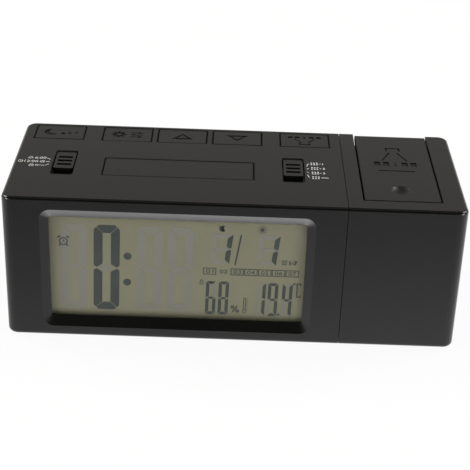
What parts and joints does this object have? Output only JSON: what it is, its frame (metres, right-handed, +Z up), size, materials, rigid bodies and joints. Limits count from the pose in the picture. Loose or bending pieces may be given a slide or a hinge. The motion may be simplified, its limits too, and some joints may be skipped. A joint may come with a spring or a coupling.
{
  "type": "projection alarm clock",
  "caption": "Free-standing digital alarm clock in a low black case, with a bevelled display, top keys, slide switches and a hinged projector flap.",
  "frame": {"origin": "middle of the box in plan, on the plane that the feet stand on", "axes": "+X to the right as the display is read, +Y to the back, +Z up"},
  "size_m": [0.16, 0.064, 0.0559],
  "materials": {
    "shell": "moulded ABS, fine satin",
    "shell_back": "moulded ABS, fine texture",
    "keys": "moulded ABS, fine satin",
    "sliders": "moulded ABS, satin",
    "lamp_plastic": "moulded ABS, matt",
    "foot_rubber": "matt rubber",
    "strip_rubber": "layered conductive rubber",
    "clear_cover": "clear acrylic sheet",
    "lcd_glass": "reflective display cell",
    "lens_glass": "clear moulded lens",
    "led_resin": "clear resin",
    "white_plastic": "white moulded plastic",
    "circuit_board": "green solder resist",
    "black_resin": "cured black resin",
    "steel": "zinc plated",
    "switch_steel": "tinned sheet",
    "spring_steel": "nickel plated wire and sheet",
    "brass": "plain disc",
    "cell_sleeve": "printed sleeve, plain grey"
  },
  "bodies": {
    "case": {"front_housing": "shell", "projector_housing": "shell", "rear_cover": "shell_back", "rubber_feet": "foot_rubber", "cover_screws": "steel", "module_screws": "steel", "display_cover": "clear_cover", "lcd_panel": "lcd_glass", "backlight": "white_plastic", "lcd_frame": "white_plastic", "contact_strip": "strip_rubber", "main_board": "circuit_board", "controller_chip": "black_resin", "board_screws": "steel", "ribbon_cable": "white_plastic", "key_board": "circuit_board", "key_board_screws": "steel", "tact_switches": "switch_steel", "left_switch": "switch_steel", "right_switch": "switch_steel", "hinge_pins": "steel", "hinge_washers": "white_plastic", "buzzer": "brass", "climate_sensor": "white_plastic", "power_socket": "steel", "battery_cells": "cell_sleeve", "battery_springs": "spring_steel", "battery_contacts": "spring_steel"},
    "nap": {"nap_key": "keys"},
    "set": {"set_key": "keys"},
    "up": {"up_key": "keys"},
    "down": {"down_key": "keys"},
    "projection": {"projection_key": "keys"},
    "snooze": {"snooze_bar": "keys"},
    "left_slider": {"left_slider": "sliders"},
    "right_slider": {"right_slider": "sliders"},
    "flap": {"projector_flap": "shell", "lamp_case": "lamp_plastic", "lens_barrel": "lamp_plastic", "projection_lens": "lens_glass", "image_slide": "lcd_glass", "condenser_lens": "lens_glass", "light_tube": "white_plastic", "led_board": "circuit_board", "projector_led": "led_resin"},
    "focus": {"focus_ring": "lamp_plastic"},
    "door": {"battery_door": "shell_back"}
  },
  "joints": [
    {"name": "flap_hinge", "type": "hinge", "parent": "case", "child": "flap", "pos_m": [0.0579, 0.0265, 0.0503], "axis": [-1, 0, 0], "range_deg": [0, 100]},
    {"name": "focus_turn", "type": "hinge", "parent": "flap", "child": "focus", "pos_m": [0.0579, -0.0168, 0.0436], "axis": [0, 1, 0], "range_deg": [-60, 60]},
    {"name": "nap_press", "type": "slide", "parent": "case", "child": "nap", "axis": [0, 0, -1], "range_m": [0, 0.0007], "stiffness_N_per_m": 1500},
    {"name": "set_press", "type": "slide", "parent": "case", "child": "set", "axis": [0, 0, -1], "range_m": [0, 0.0007], "stiffness_N_per_m": 1500},
    {"name": "up_press", "type": "slide", "parent": "case", "child": "up", "axis": [0, 0, -1], "range_m": [0, 0.0007], "stiffness_N_per_m": 1500},
    {"name": "down_press", "type": "slide", "parent": "case", "child": "down", "axis": [0, 0, -1], "range_m": [0, 0.0007], "stiffness_N_per_m": 1500},
    {"name": "projection_press", "type": "slide", "parent": "case", "child": "projection", "axis": [0, 0, -1], "range_m": [0, 0.0007], "stiffness_N_per_m": 1500},
    {"name": "snooze_press", "type": "slide", "parent": "case", "child": "snooze", "axis": [0, 0, -1], "range_m": [0, 0.0007], "stiffness_N_per_m": 2400},
    {"name": "left_slide", "type": "slide", "parent": "case", "child": "left_slider", "axis": [0, -1, 0], "range_m": [0, 0.005]},
    {"name": "right_slide", "type": "slide", "parent": "case", "child": "right_slider", "axis": [0, -1, 0], "range_m": [0, 0.0054]},
    {"name": "door_hinge", "type": "hinge", "parent": "case", "child": "door", "pos_m": [-0.024, 0.0312, 0.0059], "axis": [-1, 0, 0], "range_deg": [0, 75]}
  ]
}
